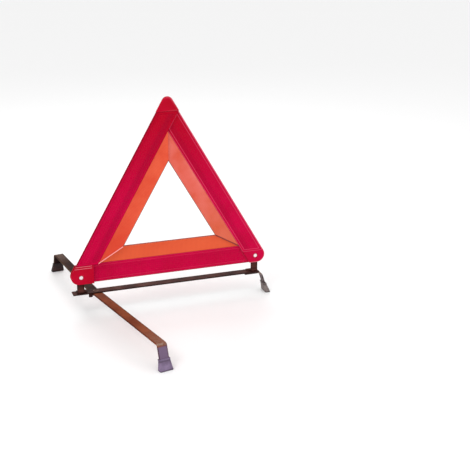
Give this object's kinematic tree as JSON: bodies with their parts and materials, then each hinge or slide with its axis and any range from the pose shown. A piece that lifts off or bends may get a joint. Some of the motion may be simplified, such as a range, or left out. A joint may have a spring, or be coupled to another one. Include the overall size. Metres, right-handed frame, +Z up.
{
  "type": "warning triangle",
  "caption": "Folding reflective warning triangle on a low steel stand, with hinged side arms and swinging legs on rubber shoes.",
  "frame": {"origin": "on the ground, under the middle of the whole object's box", "axes": "+X along the triangle's base to the right as seen from the reflector side, -Y towards the approaching traffic, +Z up"},
  "size_m": [0.5093, 0.682, 0.5262],
  "materials": {
    "dark_steel": "dark bronze-brown coated steel, satin",
    "bright_steel": "bright zinc plating",
    "red_plastic": "crimson moulded plastic, glossy",
    "red_reflector": "crimson retroreflecting lens with a fine prism grid",
    "fluorescent_orange": "fluorescent orange plastic with fine ribs",
    "rubber": "dark grey moulded rubber"
  },
  "bodies": {
    "stand": {"stand_bar": "dark_steel", "left_bracket": "dark_steel", "right_bracket": "dark_steel", "bracket_rivets": "dark_steel", "right_leg": "dark_steel", "right_shoe": "rubber", "leg_pivot_rivet": "dark_steel", "leg_washer": "bright_steel", "base_arm_housing": "red_plastic", "base_arm_reflector": "red_reflector", "base_arm_fluorescent_strip": "fluorescent_orange", "left_arm_rivet": "bright_steel", "right_arm_rivet": "bright_steel", "left_pivot_spacer": "bright_steel", "right_pivot_spacer": "bright_steel"},
    "left_arm": {"left_arm_housing": "red_plastic", "left_arm_reflector": "red_reflector", "left_arm_fluorescent_strip": "fluorescent_orange", "apex_cap": "red_plastic"},
    "right_arm": {"right_arm_housing": "red_plastic", "right_arm_reflector": "red_reflector", "right_arm_fluorescent_strip": "fluorescent_orange"},
    "front_swing_leg": {"front_leg": "dark_steel", "front_shoe": "rubber"},
    "rear_swing_leg": {"rear_leg": "dark_steel", "rear_shoe": "rubber"}
  },
  "joints": [
    {"name": "left_arm_fold", "type": "hinge", "parent": "stand", "child": "left_arm", "pos_m": [-0.2303, 0.00882, 0.1055], "axis": [0, 1, 0], "range_deg": [0, 60]},
    {"name": "right_arm_fold", "type": "hinge", "parent": "stand", "child": "right_arm", "pos_m": [0.2117, 0.00882, 0.1055], "axis": [0, -1, 0], "range_deg": [0, 60]},
    {"name": "front_leg_swing", "type": "hinge", "parent": "stand", "child": "front_swing_leg", "pos_m": [-0.1923, 0.01842, 0.057], "axis": [0, 0, 1], "range_deg": [0, 78]},
    {"name": "rear_leg_swing", "type": "hinge", "parent": "stand", "child": "rear_swing_leg", "pos_m": [-0.1923, 0.01842, 0.057], "axis": [0, 0, -1], "range_deg": [0, 97]}
  ]
}
